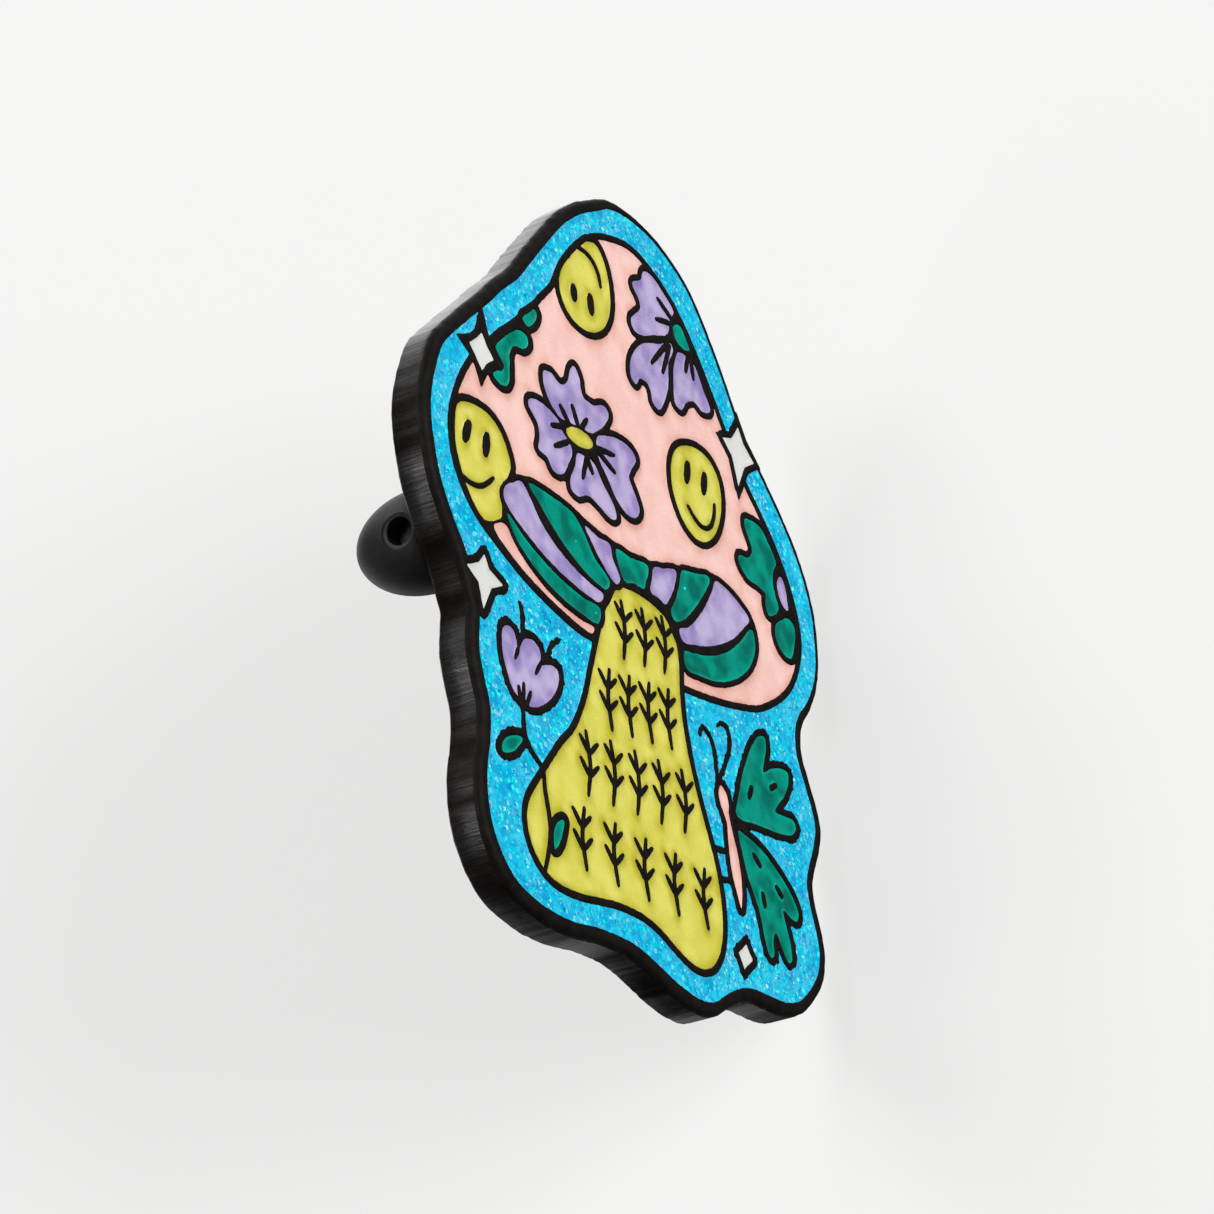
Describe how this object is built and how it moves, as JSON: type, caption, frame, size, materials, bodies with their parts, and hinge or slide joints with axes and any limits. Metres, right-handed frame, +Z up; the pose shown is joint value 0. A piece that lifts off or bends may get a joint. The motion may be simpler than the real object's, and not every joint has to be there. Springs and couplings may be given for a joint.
{
  "type": "enamel pin",
  "caption": "Mushroom-shaped soft-enamel pin with raised metal lines, coloured cells, glitter field, rear posts and push-on clutches.",
  "frame": {"origin": "on the flat back face of the plate, midway between the two posts", "axes": "+X to the right seen from the front, +Y out of the back face along the posts, +Z up the mushroom; the enamelled face looks toward -Y"},
  "size_m": [0.0418, 0.0076, 0.0494],
  "materials": {
    "plate": "black dyed, satin",
    "post": "satin",
    "clutch": "matte",
    "blue": "glitter enamel",
    "pink": "gloss enamel",
    "yellow": "gloss enamel",
    "green": "gloss enamel",
    "purple": "gloss enamel",
    "white": "gloss enamel"
  },
  "bodies": {
    "pin": {"butterfly_body": "pink", "cap_leaf_large": "green", "cap_leaf_small": "green", "cap_lip_left": "pink", "cap_pink": "pink", "centre_flower_disc": "yellow", "edge_flower_disc": "green", "edge_petal_middle": "purple", "edge_petal_right": "purple", "edge_petal_top": "purple", "gill_1_purple": "purple", "gill_2_green": "green", "gill_3_green": "green", "gill_4_purple": "purple", "gill_5_green": "green", "gill_6_purple": "purple", "gill_7_green": "green", "gill_8_purple": "purple", "gill_9_green": "green", "glitter_arch": "blue", "glitter_between_bars": "blue", "glitter_corner": "blue", "glitter_field": "blue", "green_flower_disc": "purple", "green_petal_large": "green", "green_petal_small": "green", "petal_bottom": "purple", "petal_left": "purple", "petal_right": "purple", "petal_top": "purple", "plate": "plate", "post_left": "post", "post_right": "post", "smiley_left": "yellow", "smiley_right": "yellow", "smiley_top": "yellow", "sparkle_bottom": "white", "sparkle_cap": "white", "sparkle_left_edge": "white", "sparkle_right_edge": "white", "stem_leaf": "green", "stem_yellow": "yellow", "stem_yellow_edge": "yellow", "tulip": "purple", "tulip_leaf": "green", "wing_lower": "green", "wing_upper": "green"},
    "clutch_left": {"clutch_left": "clutch"},
    "clutch_right": {"clutch_right": "clutch"}
  },
  "joints": [
    {"name": "clutch_left_slide", "type": "slide", "parent": "pin", "child": "clutch_left", "axis": [0, 1, 0], "range_m": [0, 0.009]},
    {"name": "clutch_right_slide", "type": "slide", "parent": "pin", "child": "clutch_right", "axis": [0, 1, 0], "range_m": [0, 0.009]}
  ]
}
